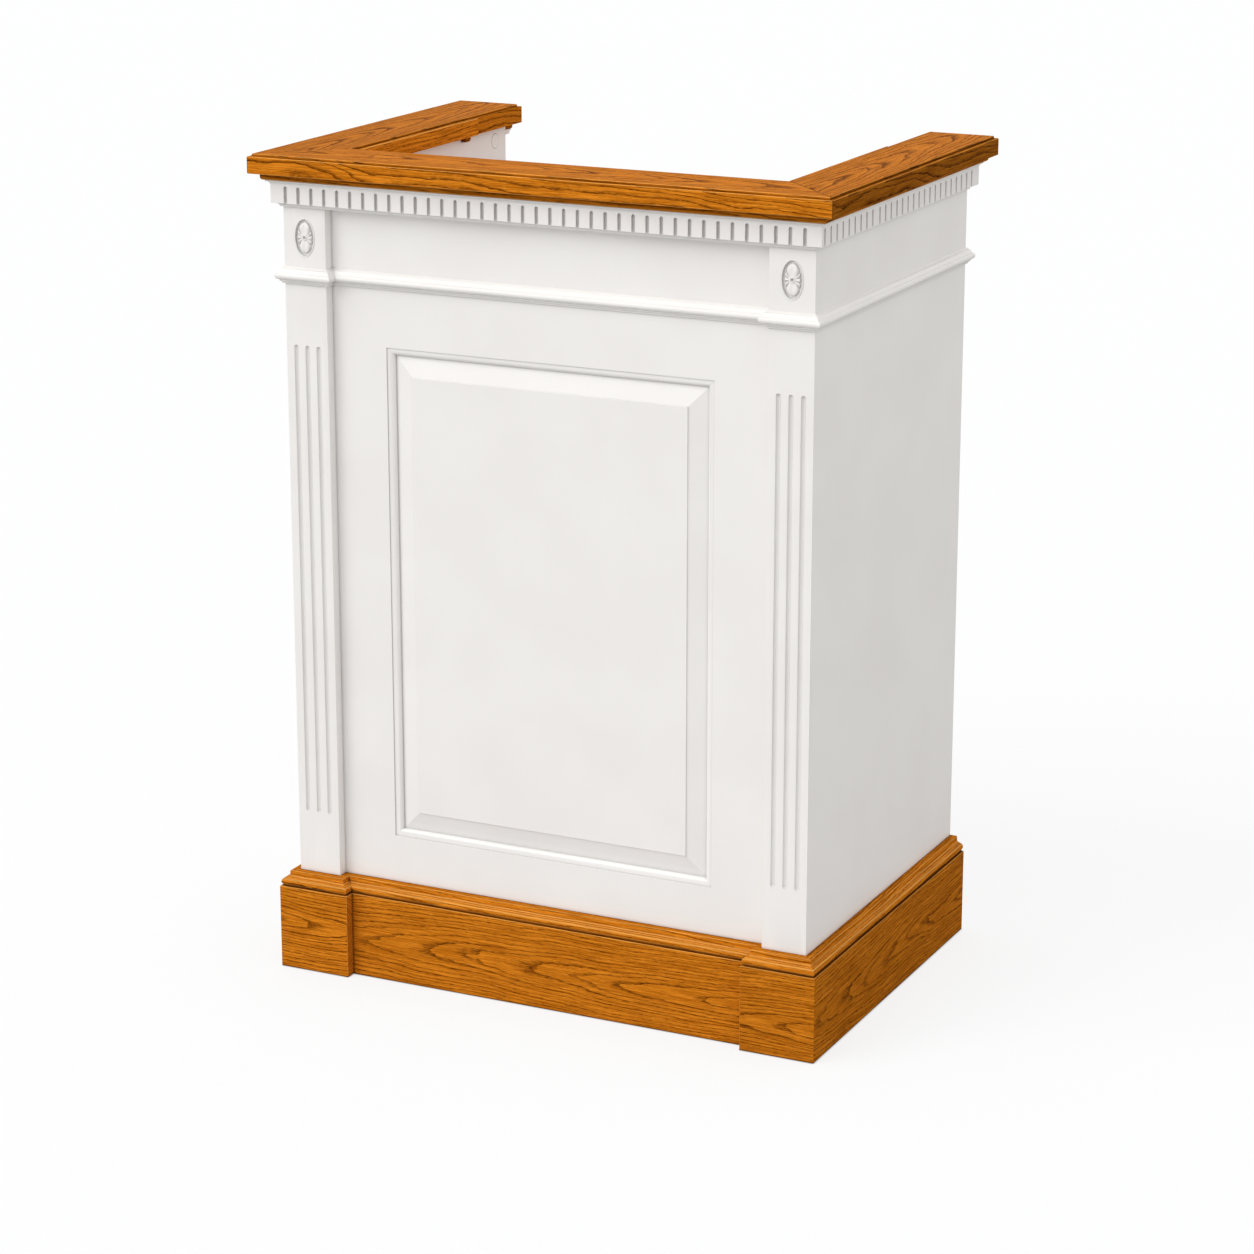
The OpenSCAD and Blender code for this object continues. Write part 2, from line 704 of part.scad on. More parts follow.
// One length, along the bottom of an opening that is 2 * half long. Where two lengths cross at a
// corner, each hides what lies deeper in the other, and that is the mitre.
module sticking(half) {
  translate([-half, 0, 0]) rotate([90, 0, 90]) linear_extrude(2 * half)
    polygon([for (p = sticking_profile) [p[1], p[0]]]);
}
module panel_moulding() {
  half_w = opening_x;
  half_h = (opening_top_z - opening_low_z) / 2;
  color(white) translate([0, field_y, (opening_top_z + opening_low_z) / 2])
    for (s = [0, 180]) rotate([0, s, 0]) {
      translate([0, 0, -half_h]) sticking(half_w);
      rotate([0, 90, 0]) translate([0, 0, -half_w]) sticking(half_h);
    }
}

module front_lining() {
  color(white) block(-side_in_x, side_in_x, frame_back_y, inner_y, 0, cap_z);
}

// Wings: outer panel, hidden posts and rails, inner panel and end board
module side_panel() {
  color(white) block(side_in_x, side_x, field_y, back_y, 0, cap_z);
}
module side_panel_right() side_panel();
module side_panel_left() mirror([1, 0, 0]) side_panel();

plug_y = back_y - plug_back;
plug_z = cap_z - plug_drop;
pin_inset = 40;
pin_tab_l = 12;
pin_tab_h = 7;
pin_ys = [inner_y + pin_inset, inner_y + shelf_d - pin_inset];
pin_z = shelf_z - pin_tab_h / 2;
// A hole in the right-hand inner panel, from its face outwards
module wall_hole(y, z, r, deep) {
  translate([inner_x - more, y, z]) rotate([0, 90, 0]) cylinder(r = r, h = deep + more);
}
module inner_panel() {
  color(white) difference() {
    block(inner_x, lining_x, inner_y, end_y, 0, cap_z);
    wall_hole(plug_y, plug_z, plug_r + plug_gap, plug_t);
    wall_hole(stud_y, stud_z, stud_r + hole_gap, lining_t + more);
    for (y = pin_ys) wall_hole(y, pin_z, pin_r + hole_gap, pin_deep + hole_gap);
  }
}
module inner_panel_right() inner_panel();
module inner_panel_left() mirror([1, 0, 0]) inner_panel();

module end_boards() {
  color(white) both() block(inner_x, side_in_x, end_y, back_y, 0, cap_z);
}
post_front_y = inner_y + post_w;
post_rear_y = end_y - post_w;
module wing_posts() {
  color("burlywood") both() {
    block(lining_x, side_in_x, inner_y, post_front_y, 0, cap_z);
    block(lining_x, side_in_x, post_rear_y, end_y, 0, cap_z);
  }
}
module wing_rails() {
  color("burlywood") both() for (z = [0, wing_rail_z, cap_z - post_w])
    block(lining_x, side_in_x, post_front_y, post_rear_y, z, z + post_w);
}
module cover_plugs() {
  color(white) both()
    translate([inner_x, plug_y, plug_z]) rotate([0, 90, 0]) cylinder(r = plug_r, h = plug_t);
}

// Base: plinth blocks under the pilasters, boards between and beside them, and their moulding
module plinth_block() {
  color(oak) {
    pilaster_length(board_profile, 0, base_t);
    return_length(board_profile, 0, base_t);
  }
}
module plinth_block_right() plinth_block();
module plinth_block_left() mirror([1, 0, 0]) plinth_block();
module base_board_front() {
  color(oak) field_length(board_profile, 0, base_t);
}
module square_side_length(profile, z) length_of(profile, 90, side_x, z, plan_side_square(base_t));
module base_board_right() color(oak) square_side_length(board_profile, 0);
module base_board_left() mirror([1, 0, 0]) base_board_right();
module base_cap_front() {
  color(oak) field_length(base_cap_profile, base_h, base_t);
}
module base_cap_right() color(oak) square_side_length(base_cap_profile, base_h);
module base_cap_left() mirror([1, 0, 0]) base_cap_right();
module base_cap_blocks() {
  color(oak) both() {
    pilaster_length(base_cap_profile, base_h, base_t);
    return_length(base_cap_profile, base_h, base_t);
  }
}

// Inside: floor board on cleats, and a shelf on pins
deck_end_y = back_y - deck_back;
deck_low_z = deck_z - deck_t;
module deck() {
  color(oak) block(-inner_x, inner_x, inner_y, deck_end_y, deck_low_z, deck_z);
}
module deck_cleats() {
  color("burlywood") both()
    block(inner_x - cleat_w, inner_x, inner_y, deck_end_y - cleat_w, deck_low_z - cleat_h, deck_low_z);
}
module shelf() {
  half = inner_x - shelf_gap;
  color(oak) block(-half, half, inner_y, inner_y + shelf_d, shelf_z, shelf_z + shelf_t);
}
module shelf_pins() {
  half = pin_tab_h / 2;
  color(brass) both() for (y = pin_ys) {
    block(inner_x - pin_tab_l, inner_x, y - half, y + half, shelf_z - pin_tab_h, shelf_z);
    translate([inner_x - more, y, pin_z]) rotate([0, 90, 0]) cylinder(r = pin_r, h = pin_deep + more);
  }
}

// Bookrest: local frame on the hinge's pin, with -Y up the slope and +Z square to the board
module on_slope() {
  translate([0, hinge_y, hinge_z]) rotate([-rest_slope, 0, 0]) children();
}
module screw(l) {
  translate([0, 0, -l]) cylinder(r = screw_r, h = l);
  translate([0, 0, screw_r - screw_head_r])
    cylinder(r1 = screw_r, r2 = screw_head_r, h = screw_head_r - screw_r);
}
module screw_hole(l) {
  translate([0, 0, -l - hole_gap]) cylinder(r = screw_r + hole_gap, h = l + hole_gap + more);
  wide_r = screw_head_r + more + hole_gap;
  translate([0, 0, screw_r - screw_head_r])
    cylinder(r1 = screw_r + hole_gap, r2 = wide_r, h = screw_head_r - screw_r + more);
}
// Places screws along a leaf whose outer face is at height z, heads up
module along_hinge(z) {
  for (x = screw_xs) translate([x, -screw_row, z]) children();
}

module hinge_rail() {
  color(oak) difference() {
    block(-inner_x, inner_x, rail_front_y, hinge_y - hinge_gap, rail_top_z - hinge_rail_h, rail_top_z);
    translate([0, hinge_y, rail_top_z + leaf_t]) along_hinge(0) screw_hole(screw_l);
  }
}

// Leaf of the long hinge, flat below the pin. Its knuckles start at the given number.
module leaf(start, fit) {
  difference() {
    union() {
      block(-hinge_l / 2, hinge_l / 2, -leaf_w, -plate_start, -board_low, -board_low + leaf_t);
      for (i = [start : 2 : knuckles - 1]) {
        x0 = -hinge_l / 2 + i * knuckle_l + hinge_gap / 2;
        x1 = x0 + knuckle_l - hinge_gap;
        block(x0, x1, -plate_start - more, 0, -board_low, -board_low + leaf_t);
        translate([x0, 0, 0]) rotate([0, 90, 0]) cylinder(r = knuckle_r, h = x1 - x0);
      }
    }
    translate([-hinge_l / 2 - more, 0, 0]) rotate([0, 90, 0])
      cylinder(r = hinge_pin_r + fit, h = hinge_l + 2 * more);
    along_hinge(-board_low + leaf_t) screw_hole(screw_l);
  }
}
module hinge_rail_leaf() {
  color(brass) translate([0, hinge_y, hinge_z]) leaf(0, hole_gap);
}
module hinge_board_leaf() {
  color(brass) on_slope() mirror([0, 0, 1]) leaf(1, pin_fit);
}
module hinge_pin() {
  color(brass)
    translate([-hinge_l / 2, hinge_y, hinge_z]) rotate([0, 90, 0]) cylinder(r = hinge_pin_r, h = hinge_l);
}
module rail_screws() {
  color(brass) translate([0, hinge_y, rail_top_z + leaf_t]) along_hinge(0) screw(screw_l);
}

module stay_screw_places() {
  for (side = [-1, 1])
    translate([board_x + stay_t, -stay_r + side * stay_screw_out, board_low + board_t / 2])
      rotate([0, 90, 0]) children();
}
module reading_board() {
  color(oak) on_slope() difference() {
    block(-board_x, board_x, -board_l, 0, board_low, board_low + board_t);
    mirror([0, 0, 1]) along_hinge(-board_low + leaf_t) screw_hole(screw_l);
    both() stay_screw_places() screw_hole(screw_l);
  }
}
// The book stop is fixed to the board's lower edge, so the board's face stays clear
module book_stop() {
  r = stop_t / 2 - more;
  top = board_low + board_t + stop_h;
  color(oak) on_slope() translate([-board_x, 0, 0]) rotate([90, 0, 90]) linear_extrude(2 * board_x)
    polygon(concat(
      [[0, board_low], [stop_t, board_low]],
      arc(stop_t - r, top - r, r, 0, 90),
      arc(r, top - r, r, 90, 180)));
}
module board_screws() {
  color(brass) on_slope() {
    mirror([0, 0, 1]) along_hinge(-board_low + leaf_t) screw(screw_l);
    both() stay_screw_places() screw(screw_l);
  }
}

// Quadrant stays: a slotted brass arc on each end of the board, centred on the hinge's pin.
// Angles are measured down from the board.
function at_angle(r, a) = [-r * cos(a), -r * sin(a)];
stay_high_angle = -asin((board_low + board_t - 2) / stay_r);
module quadrant_outline() {
  slot_r = stud_r + stud_gap;
  reach = stay_r + stay_w;
  difference() {
    intersection() {
      difference() {
        circle(r = stay_r + stay_w / 2, $fn = 180);
        circle(r = stay_r - stay_w / 2, $fn = 180);
      }
      polygon([[0, 0], at_angle(2 * reach, stay_high_angle), at_angle(2 * reach, stay_low_angle)]);
    }
    intersection() {
      difference() {
        circle(r = stay_r + slot_r, $fn = 180);
        circle(r = stay_r - slot_r, $fn = 180);
      }
      polygon([[0, 0], at_angle(2 * reach, stud_angle), at_angle(2 * reach, stud_angle + tilt_range)]);
    }
    for (a = [stud_angle, stud_angle + tilt_range]) translate(at_angle(stay_r, a)) circle(r = slot_r);
  }
}
module quadrant_stays() {
  color(brass) on_slope() both() difference() {
    translate([board_x, 0, 0]) rotate([90, 0, 90]) linear_extrude(stay_t) quadrant_outline();
    stay_screw_places() screw_hole(screw_l);
  }
}

// Stud in the wall, through the slot, and the knob that clamps the stay against it
knob_out_x = board_x - hinge_gap;
knob_in_x = knob_out_x - knob_t;
knob_face_t = 3;
stud_end_x = knob_in_x + knob_face_t;
module on_stud() {
  translate([0, stud_y, stud_z]) rotate([0, 90, 0]) children();
}
module clamp_studs() {
  boss_x = board_x + stay_t + hinge_gap;
  color(brass) both() on_stud() {
    translate([0, 0, stud_end_x]) cylinder(r = stud_r, h = lining_x - stud_end_x);
    translate([0, 0, boss_x]) cylinder(r = 2 * stud_r, h = inner_x - boss_x);
  }
}
module clamp_knob() {
  lobes = 10;
  lobe_r = 2.2;
  edge_r = 3;
  neck_r = knob_r - 5;
  neck_l = 4;
  color(brass) on_stud() difference() {
    rotate_extrude() polygon(concat(
      [[0, knob_in_x], [knob_r - edge_r, knob_in_x]],
      arc(knob_r - edge_r, knob_in_x + edge_r, edge_r, -90, 0),
      [[knob_r, knob_out_x - neck_l],
       [neck_r, knob_out_x - neck_l + 1.5],
       [neck_r, knob_out_x],
       [0, knob_out_x]]));
    translate([0, 0, stud_end_x - more]) cylinder(r = stud_r + pin_fit, h = knob_t);
    for (i = [0 : lobes - 1]) rotate([0, 0, i * 360 / lobes])
      translate([knob_r + 1, 0, knob_in_x - more]) cylinder(r = lobe_r, h = knob_t);
  }
}
module clamp_knob_right() clamp_knob();
module clamp_knob_left() mirror([1, 0, 0]) clamp_knob();

cap_front();
cap_left();
cap_right();
cap_strips();
cap_brackets();
cap_cove_front();
cap_cove_left();
cap_cove_right();
cornice_front();
cornice_left();
cornice_right();
cornice_backer();
belt_front();
belt_left();
belt_right();
belt_over_pilasters();
pilaster_left();
pilaster_right();
rosettes();
stile_left();
stile_right();
top_rail();
bottom_rail();
frieze_board();
raised_panel();
panel_moulding();
front_lining();
side_panel_left();
side_panel_right();
inner_panel_left();
inner_panel_right();
end_boards();
wing_posts();
wing_rails();
cover_plugs();
plinth_block_left();
plinth_block_right();
base_board_front();
base_board_left();
base_board_right();
base_cap_front();
base_cap_left();
base_cap_right();
base_cap_blocks();
deck();
deck_cleats();
shelf();
shelf_pins();
hinge_rail();
hinge_rail_leaf();
hinge_pin();
hinge_board_leaf();
reading_board();
book_stop();
quadrant_stays();
clamp_studs();
clamp_knob_left();
clamp_knob_right();
rail_screws();
board_screws();
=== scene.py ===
# %% [markdown]
# # A pulpit in white paint and medium oak
#
# The pulpit arrives as a finished joinery model: sixty named pieces, each one in its true place and
# size. Nothing here moves or resizes a piece. This lesson dresses them, as a finisher would: it sets
# up a studio, eases the arrises, paints the panelling, and stains and lacquers the oak.

# %% Load the pulpit
import math
import bpy
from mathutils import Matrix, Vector


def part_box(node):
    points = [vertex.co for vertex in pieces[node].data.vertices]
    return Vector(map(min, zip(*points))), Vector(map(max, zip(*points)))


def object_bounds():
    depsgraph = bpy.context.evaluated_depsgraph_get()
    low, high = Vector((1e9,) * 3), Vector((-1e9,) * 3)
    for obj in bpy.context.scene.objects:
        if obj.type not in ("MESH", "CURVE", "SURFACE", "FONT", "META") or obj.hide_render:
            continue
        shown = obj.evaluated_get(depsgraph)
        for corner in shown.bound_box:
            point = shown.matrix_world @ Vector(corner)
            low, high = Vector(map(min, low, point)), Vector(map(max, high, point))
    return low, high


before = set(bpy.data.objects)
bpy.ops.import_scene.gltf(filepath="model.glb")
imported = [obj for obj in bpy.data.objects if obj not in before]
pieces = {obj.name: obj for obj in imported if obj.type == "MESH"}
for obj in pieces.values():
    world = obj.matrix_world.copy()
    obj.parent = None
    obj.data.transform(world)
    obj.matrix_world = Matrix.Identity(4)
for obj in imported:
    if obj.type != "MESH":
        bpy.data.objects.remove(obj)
cad_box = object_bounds()
millimetre = 0.001

# %% [markdown]
# ## Camera
#
# The pulpit is seen from its right front corner and from a little above, by a long lens, so that its
# edges stay almost parallel. The camera stands about five metres away and looks a little below the
# middle of the pulpit.

# %% Camera
camera_data = bpy.data.cameras.new("camera")
camera_data.lens = 102.4
camera_data.sensor_width = 36
camera = bpy.data.objects.new("camera", camera_data)
camera.location = (2.113, -4.381, 1.883)
aim = Vector((-0.0048, 0.0035, 0.4806))
camera.rotation_euler = (aim - camera.location).to_track_quat("-Z", "Y").to_euler()
bpy.context.scene.collection.objects.link(camera)
bpy.context.scene.camera = camera
bpy.context.scene.view_settings.view_transform = "Standard"
print("camera is", round((aim - camera.location).length, 2), "m from where it looks")

# %% [markdown]
# ## Node trees in a few words
#
# Every finish below is a tree of nodes. These helpers keep such a tree short to write: `add` puts in
# one node and fills its inputs, with plain values or with the outputs of other nodes. The others add
# the nodes that a wood or a paint needs most, and the last one puts a finish on its pieces.

# %% Helpers for node trees
def add(tree, kind, inputs=None, **settings):
    """Adds one node. A setting is a property of the node, and an input is a value or an output."""
    node = tree.nodes.new(kind)
    for name, value in settings.items():
        setattr(node, name, value)
    for name, value in (inputs or {}).items():
        if isinstance(value, bpy.types.NodeSocket):
            tree.links.new(value, node.inputs[name])
        else:
            node.inputs[name].default_value = value
    return node


def maths(tree, operation, *values):
    """One number worked out from others, such as maths(tree, "MULTIPLY", width, 0.5)."""
    return add(tree, "ShaderNodeMath", dict(enumerate(values)), operation=operation).outputs[0]


def vector(tree, x, y, z):
    """Three numbers as one vector."""
    return add(tree, "ShaderNodeCombineXYZ", {"X": x, "Y": y, "Z": z}).outputs[0]


def noise(tree, place, scale=1.0, detail=2.0, roughness=0.5):
    """Smooth random numbers from 0 to 1, about 0.5 on average."""
    return add(tree, "ShaderNodeTexNoise", {"Vector": place, "Scale": scale, "Detail": detail,
                                            "Roughness": roughness}).outputs["Fac"]


def fade(tree, value, low, high, to_low=0.0, to_high=1.0):
    """Turns the stretch from low to high into a smooth step from to_low to to_high."""
    return add(tree, "ShaderNodeMapRange", {"Value": value, "From Min": low, "From Max": high,
                                            "To Min": to_low, "To Max": to_high},
               interpolation_type="SMOOTHSTEP").outputs["Result"]


def blend(tree, share, first, second):
    """A colour that goes from the first to the second as share goes from 0 to 1."""
    node = add(tree, "ShaderNodeMix", {"Factor": share}, data_type="RGBA")
    # Inputs 6 and 7 are the two colours, and output 2 is their mix
    for socket, value in ((node.inputs[6], first), (node.inputs[7], second)):
        if isinstance(value, bpy.types.NodeSocket):
            tree.links.new(value, socket)
        else:
            socket.default_value = (*value, 1)
    return node.outputs[2]


def hollow(tree, reach):
    """1 in corners and hollows that are narrower than about twice reach metres, and 0 in the open."""
    open_sky = add(tree, "ShaderNodeAmbientOcclusion", {"Distance": reach}, samples=8).outputs["AO"]
    return fade(tree, open_sky, 0.35, 0.95, 1.0, 0.0)


def new_finish(name):
    """An empty material, and its tree of nodes."""
    material = bpy.data.materials.new(name)
    material.use_nodes = True
    material.node_tree.nodes.clear()
    return material, material.node_tree


def lay_on(tree, colour, roughness, height, depth, **constants):
    """Ends a finish: its colour, its roughness, and a relief whose height is depth metres."""
    bump = add(tree, "ShaderNodeBump", {"Height": height, "Distance": depth, "Strength": 1.0})
    shader = add(tree, "ShaderNodeBsdfPrincipled", {"Base Color": colour, "Roughness": roughness,
                                                    "Normal": bump.outputs[0]})
    for name, value in constants.items():
        shader.inputs[name.replace("_", " ")].default_value = value
    output = add(tree, "ShaderNodeOutputMaterial")
    tree.links.new(shader.outputs[0], output.inputs["Surface"])


def finish_with(names, finish):
    """Gives pieces a material in place of the plain one that they came with."""
    for name in names:
        pieces[name].data.materials[0] = finish


print("helpers are ready")

# %% [markdown]
# ## Floor, background and light
#
# The pulpit stands on a white sweep, with no line between floor and background. The floor is a large
# plane that is part paint and part glow as the camera sees it, so that it reads as white and still
# takes a soft shadow. To everything else it is a duller floor, because a bright one would throw light
# up under the mouldings and wash out the shadow lines that draw them. The light is that of a bright
# studio: soft from all round, most from the height of the walls, and a wide source on the left of the
# front, which leaves the right side one step darker.

# %% Floor
floor_half = 30.0
floor_to_camera = (0.885, 0.900, 0.920)
floor_to_pulpit = (0.43, 0.43, 0.43)
glow_strength = 0.995
glow_part = 0.80
contact_reach = 4 * millimetre
contact_shadow = -0.5
floor_mesh = bpy.data.meshes.new("floor")
corners = [(-floor_half, -floor_half, 0), (floor_half, -floor_half, 0),
           (floor_half, floor_half, 0), (-floor_half, floor_half, 0)]
floor_mesh.from_pydata(corners, [], [(0, 1, 2, 3)])
floor = bpy.data.objects.new("floor", floor_mesh)
bpy.context.scene.collection.objects.link(floor)

floor_finish, tree = new_finish("white_floor")
path = add(tree, "ShaderNodeLightPath")
floor_colour = blend(tree, path.outputs["Is Camera Ray"], floor_to_pulpit, floor_to_camera)
paint = add(tree, "ShaderNodeBsdfDiffuse", {"Color": floor_colour})
strength = maths(tree, "MULTIPLY_ADD", hollow(tree, contact_reach), contact_shadow, glow_strength)
glow = add(tree, "ShaderNodeEmission", {"Color": (1, 1, 1, 1), "Strength": strength})
glow_share = maths(tree, "MULTIPLY", path.outputs["Is Camera Ray"], glow_part)
mixed = add(tree, "ShaderNodeMixShader", {"Fac": glow_share})
tree.links.new(paint.outputs[0], mixed.inputs[1])
tree.links.new(glow.outputs[0], mixed.inputs[2])
output = add(tree, "ShaderNodeOutputMaterial")
tree.links.new(mixed.outputs[0], output.inputs["Surface"])
floor_mesh.materials.append(floor_finish)
print("the floor is", 2 * floor_half, "m wide")

# %% Light
strength_at_eye_level = 1.335
less_overhead = -0.65
warm_white = (1.0, 0.987, 0.970, 1)
world = bpy.data.worlds.new("studio")
world.use_nodes = True
bpy.context.scene.world = world
tree = world.node_tree
tree.nodes.clear()
path = add(tree, "ShaderNodeLightPath")
seen = maths(tree, "MAXIMUM", path.outputs["Is Camera Ray"],
             maths(tree, "MAXIMUM", path.outputs["Is Glossy Ray"], path.outputs["Is Transmission Ray"]))
height = add(tree, "ShaderNodeSeparateXYZ",
             {"Vector": add(tree, "ShaderNodeTexCoord").outputs["Generated"]}).outputs["Z"]
strength = maths(tree, "MULTIPLY_ADD", maths(tree, "ABSOLUTE", height), less_overhead,
                 strength_at_eye_level)
room = add(tree, "ShaderNodeBackground", {"Color": warm_white, "Strength": strength})
white = add(tree, "ShaderNodeBackground", {"Color": (1, 1, 1, 1), "Strength": 1.0})
mixed = add(tree, "ShaderNodeMixShader", {"Fac": seen})
tree.links.new(room.outputs[0], mixed.inputs[1])
tree.links.new(white.outputs[0], mixed.inputs[2])
output = add(tree, "ShaderNodeOutputWorld")
tree.links.new(mixed.outputs[0], output.inputs["Surface"])

lamp_data = bpy.data.lights.new("soft_key", "SUN")
lamp_data.energy = 1.16
lamp_data.angle = math.radians(40)
lamp = bpy.data.objects.new("soft_key", lamp_data)
towards_lamp = Vector((-0.50, -0.60, 0.57))
lamp.rotation_euler = towards_lamp.to_track_quat("Z", "Y").to_euler()
bpy.context.scene.collection.objects.link(lamp)
print("the lamp stands", round(math.degrees(towards_lamp.angle((0, 0, 1)))), "degrees from overhead")

# %% [markdown]
# ## Eased arrises
#
# No joiner leaves an outside corner sharp. A pass with a block plane or sandpaper rounds it by about a
# millimetre, and that small round is what catches the light. Where two pieces meet, though, the corner
# stays sharp, or the joint would show as a groove.
#
# So each piece with free corners gets four modifiers. Weld and Decimate turn the imported triangles
# back into whole faces. A small tree of geometry nodes then weights each outside corner: fully where
# it is free, and not at all where it touches another piece. The same tree shades curves smooth and
# leaves a crisp line where two faces meet at more than the crease angle. Bevel rounds the corners by
# those weights.
#
# The mouldings with a width of 0 and the rosettes have curves of their own, so they are only shaded
# smooth. The raised panel's bevels are so flat that its crease angle has to be small, or they would
# melt into its field. The flush boards of the front wall have no free corner, and the brass is used as
# it comes.

# %% A tree that weights the free arrises
outside_corner = math.radians(35)
joint_gap = 0.08 * millimetre


def arris_tree():
    """Geometry nodes that store a bevel weight on each outside corner."""
    group = bpy.data.node_groups.new("weight_the_arrises", "GeometryNodeTree")
    side = group.interface.new_socket
    side("Geometry", in_out="OUTPUT", socket_type="NodeSocketGeometry")
    side("Geometry", in_out="INPUT", socket_type="NodeSocketGeometry")
    side("Neighbours", in_out="INPUT", socket_type="NodeSocketCollection")
    side("Crease", in_out="INPUT", socket_type="NodeSocketFloat")
    source = add(group, "NodeGroupInput")
    sink = add(group, "NodeGroupOutput")
    angle = add(group, "GeometryNodeInputMeshEdgeAngle")
    outside = add(group, "FunctionNodeCompare", {0: angle.outputs["Signed Angle"], 1: outside_corner},
                  data_type="FLOAT", operation="GREATER_THAN")
    others = add(group, "GeometryNodeCollectionInfo", {"Collection": source.outputs["Neighbours"]})
    real = add(group, "GeometryNodeRealizeInstances", {"Geometry": others.outputs[0]})
    near = add(group, "GeometryNodeProximity", {0: real.outputs[0]}, target_element="FACES")
    free = add(group, "FunctionNodeCompare", {0: near.outputs["Distance"], 1: joint_gap},
               data_type="FLOAT", operation="GREATER_EQUAL")
    weight = maths(group, "MULTIPLY", outside.outputs[0], free.outputs[0])
    stored = add(group, "GeometryNodeStoreNamedAttribute",
                 {"Geometry": source.outputs["Geometry"], "Name": "bevel_weight_edge", "Value": weight},
                 data_type="FLOAT", domain="EDGE")
    smooth = add(group, "GeometryNodeSetShadeSmooth", {"Geometry": stored.outputs[0]})
    corner = add(group, "FunctionNodeCompare",
                 {0: angle.outputs["Unsigned Angle"], 1: source.outputs["Crease"]},
                 data_type="FLOAT", operation="GREATER_THAN")
    creased = add(group, "GeometryNodeStoreNamedAttribute",
                  {"Geometry": smooth.outputs[0], "Name": "sharp_edge", "Value": corner.outputs[0]},
                  data_type="BOOLEAN", domain="EDGE")
    group.links.new(creased.outputs[0], sink.inputs[0])
    return group


weight_the_arrises = arris_tree()
arris_inputs = {item.name: item.identifier for item in weight_the_arrises.interface.items_tree}
print(len(weight_the_arrises.nodes), "nodes weight the arrises")

# %% Ease the pieces
boxes = {name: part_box(name) for name in pieces}
copies = {name: bpy.data.objects.new("copy_of_" + name, piece.data) for name, piece in pieces.items()}


def pieces_touching(name, slack=0.2 * millimetre):
    """A collection with copies of the pieces whose boxes touch this one's. It isn't in the scene."""
    low, high = boxes[name]
    group = bpy.data.collections.new("beside_" + name)
    for other, (other_low, other_high) in boxes.items():
        if other != name and all(low[i] - slack <= other_high[i] and other_low[i] - slack <= high[i]
                                 for i in range(3)):
            group.objects.link(copies[other])
    return group


def ease(name, width, crease=30):
    """Rounds a piece's free outside corners by width millimetres, and shades its curves smooth.

    Faces that meet at more than crease degrees keep a crisp line.
    """
    piece = pieces[name]
    weld = piece.modifiers.new("weld", "WELD")
    weld.merge_threshold = 0.01 * millimetre
    whole = piece.modifiers.new("whole_faces", "DECIMATE")
    whole.decimate_type = "DISSOLVE"
    whole.angle_limit = math.radians(0.3)
    weights = piece.modifiers.new("arris_weights", "NODES")
    weights.node_group = weight_the_arrises
    weights[arris_inputs["Neighbours"]] = pieces_touching(name)
    weights[arris_inputs["Crease"]] = math.radians(crease)
    if not width:
        return
    round_off = piece.modifiers.new("eased_arrises", "BEVEL")
    round_off.limit_method = "WEIGHT"
    round_off.width = width * millimetre
    round_off.segments = 2
    round_off.use_clamp_overlap = False
    round_off.loop_slide = False
    round_off.harden_normals = True


eased = {
    1.3: ["cap_front", "cap_left", "cap_right"],
    1.2: ["base_board_front", "base_board_left", "base_board_right", "plinth_block_left",
          "plinth_block_right"],
    1.5: ["deck", "shelf", "reading_board", "book_stop", "hinge_rail"],
    0.8: ["pilaster_left", "pilaster_right", "side_panel_left", "side_panel_right", "end_boards",
          "inner_panel_left", "inner_panel_right", "deck_cleats", "wing_posts", "wing_rails"],
    0.5: ["cap_strips", "cap_brackets", "base_cap_front", "base_cap_left", "base_cap_right",
          "base_cap_blocks"],
    0.35: ["cornice_front", "cornice_left", "cornice_right"],
    0.0: ["cap_cove_front", "cap_cove_left", "cap_cove_right", "belt_front", "belt_left", "belt_right",
          "belt_over_pilasters", "panel_moulding", "rosettes"],
}
for width, names in eased.items():
    for name in names:
        ease(name, width)
ease("raised_panel", 0.5, crease=6)
print(sum(len(names) for names in eased.values()) + 1, "pieces eased or shaded smooth")

# %% [markdown]
# ## White paint
#
# The panelling is painted in a white satin enamel. Seen close up it isn't one flat white: it has the
# fine nap of the roller, long faint strokes where the brush followed it, and it is a little duller
# where the paint sank in. In the quirks of the mouldings it is painted grey as painted shade, and
# that is what makes their lines read from across a room.

# %% Paint
sunk_white = (0.845, 0.830, 0.815)
full_white = (0.865, 0.852, 0.838)
crevice_shade_grey = (0.42, 0.41, 0.40)


def strokes_along(axis, painted_shade=0.55, name="white_enamel_"):
    """A white enamel whose brush strokes run along x, y or z, with painted shade in its hollows."""
    finish, tree = new_finish(name + axis)
    place = add(tree, "ShaderNodeTexCoord").outputs["Object"]
    parts = add(tree, "ShaderNodeSeparateXYZ", {"Vector": place}).outputs
    stretched = [maths(tree, "MULTIPLY", parts[letter], 30.0 if letter.lower() == axis else 1400.0)
                 for letter in "XYZ"]
    strokes = noise(tree, vector(tree, *stretched), 1.0, 2.0)
    nap = noise(tree, place, 700.0, 1.0)
    sunk = noise(tree, place, 9.0, 2.0)
    colour = blend(tree, fade(tree, sunk, 0.3, 0.7), sunk_white, full_white)
    # The hollow mask paints shade: corners and quirks are painted grey
    colour = blend(tree, maths(tree, "MULTIPLY", hollow(tree, 6 * millimetre), painted_shade), colour,
                   crevice_shade_grey)
    roughness = fade(tree, sunk, 0.25, 0.75, 0.34, 0.46)
    relief = maths(tree, "ADD", maths(tree, "MULTIPLY", strokes, 0.6),
                   maths(tree, "MULTIPLY", nap, 0.4))
    lay_on(tree, colour, roughness, relief, 0.012 * millimetre, IOR=1.5)
    return finish


enamel = {axis: strokes_along(axis) for axis in "xyz"}
# The panel moulding and the rosettes get more painted shade in their hollows
deep_shade_enamel = strokes_along("z", 0.85, "deep_shade_enamel_")
carved_enamel = strokes_along("z", 0.70, "carved_enamel_")

